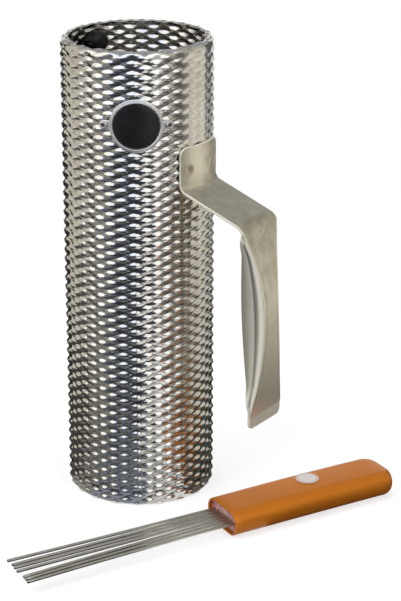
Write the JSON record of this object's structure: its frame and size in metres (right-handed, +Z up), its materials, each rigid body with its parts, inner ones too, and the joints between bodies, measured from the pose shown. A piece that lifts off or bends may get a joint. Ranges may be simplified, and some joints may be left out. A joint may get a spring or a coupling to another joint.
{
  "type": "guira with scraper",
  "caption": "Hand percussion scraper: an open embossed steel tube with a pressed strip handle and a badge plate, and a separate wire-tined scraper with an oblong grip.",
  "frame": {"origin": "middle of the underside of the object's outer box, on the surface that the barrel and the scraper stand and lie on", "axes": "+Z up along the barrel, -Y towards the badge side, +X to the right of the badge"},
  "size_m": [0.2894, 0.2496, 0.355],
  "materials": {
    "bright_steel": "bright rolled stainless sheet",
    "satin_steel": "satin steel strip with bright cut edges",
    "plated_metal": "bright plated",
    "black_enamel": "black satin enamel",
    "rivet_aluminium": "plain aluminium",
    "black_rubber": "glossy black rubber",
    "brass": "plain brass",
    "orange_lacquer": "satin orange",
    "casting_resin": "cloudy purplish casting resin",
    "wire_steel": "drawn steel wire",
    "white_paper": "white printed film"
  },
  "bodies": {
    "guira": {"barrel": "bright_steel", "handle_bracket": "satin_steel", "badge_plate": "plated_metal", "badge_enamel": "black_enamel", "badge_rivet_left": "rivet_aluminium", "badge_rivet_right": "rivet_aluminium", "rim_buffer": "black_rubber", "buffer_insert": "brass", "buffer_screw": "plated_metal", "buffer_washer": "plated_metal"},
    "scraper": {"scraper_handle": "orange_lacquer", "resin_plug": "casting_resin", "tine_1": "wire_steel", "tine_2": "wire_steel", "tine_3": "wire_steel", "tine_4": "wire_steel", "tine_5": "wire_steel", "tine_6": "wire_steel", "tine_7": "wire_steel", "scraper_label": "white_paper"}
  },
  "joints": [
    {"name": "scraper_pickup", "type": "slide", "parent": "guira", "child": "scraper", "axis": [0.3439, -0.6179, 0.7071], "range_m": [0, 0.3]}
  ]
}
